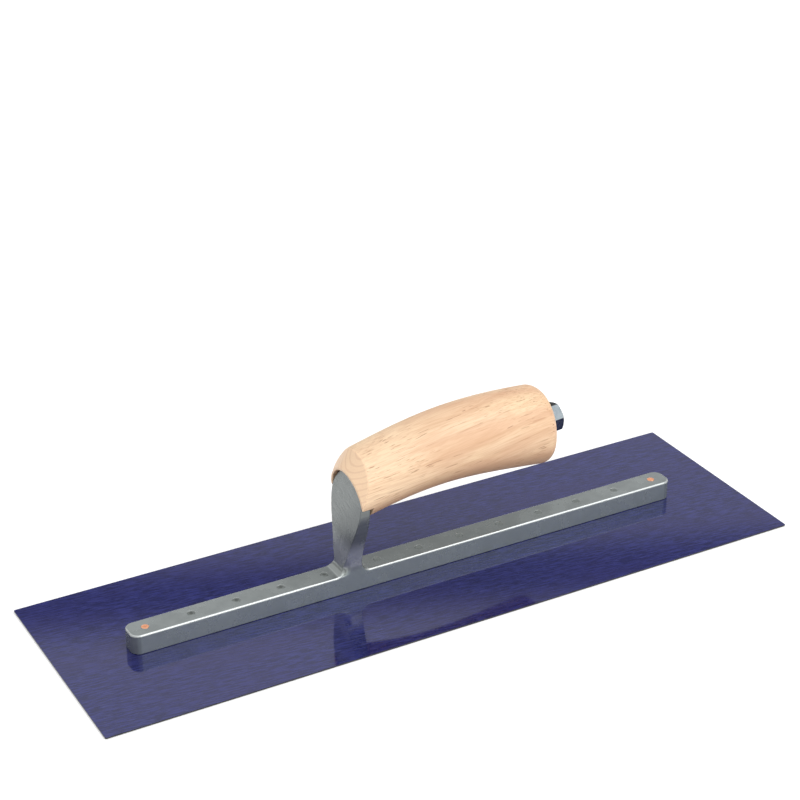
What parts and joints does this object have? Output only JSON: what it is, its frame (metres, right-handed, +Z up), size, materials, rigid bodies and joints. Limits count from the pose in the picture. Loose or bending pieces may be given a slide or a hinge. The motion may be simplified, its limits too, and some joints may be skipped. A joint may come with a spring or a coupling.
{
  "type": "finishing trowel",
  "caption": "Finishing trowel: thin rectangular steel blade, narrow alloy bar riveted along it, leaf-shaped neck, and a camel-back wooden handle held by a rod and hex nut.",
  "frame": {"origin": "centre of the blade's flat working face, on the surface the trowel rests on", "axes": "+X along the blade towards the handle's nut, +Y across the blade, +Z up, away from the working face"},
  "size_m": [0.4064, 0.127, 0.0919],
  "materials": {
    "blued_steel": "blue tempered spring steel, finely brushed and clear lacquered",
    "cast_alloy": "satin cast alloy with ground top and front faces",
    "handle_wood": "pale smooth-sanded hardwood, satin",
    "plated_steel": "bright plated steel",
    "rivet_copper": "copper-flashed steel, ground flush",
    "rivet_steel": "dull ground steel"
  },
  "bodies": {
    "root": {"blade": "blued_steel", "shank": "cast_alloy", "handle": "handle_wood", "tie_rod": "plated_steel", "washer": "plated_steel", "hex_nut": "plated_steel", "rivet_1": "rivet_copper", "rivet_2": "rivet_steel", "rivet_3": "rivet_steel", "rivet_4": "rivet_steel", "rivet_5": "rivet_steel", "rivet_6": "rivet_steel", "rivet_7": "rivet_steel", "rivet_8": "rivet_steel", "rivet_9": "rivet_steel", "rivet_10": "rivet_steel", "rivet_11": "rivet_steel", "rivet_12": "rivet_steel", "rivet_13": "rivet_copper"}
  },
  "joints": []
}
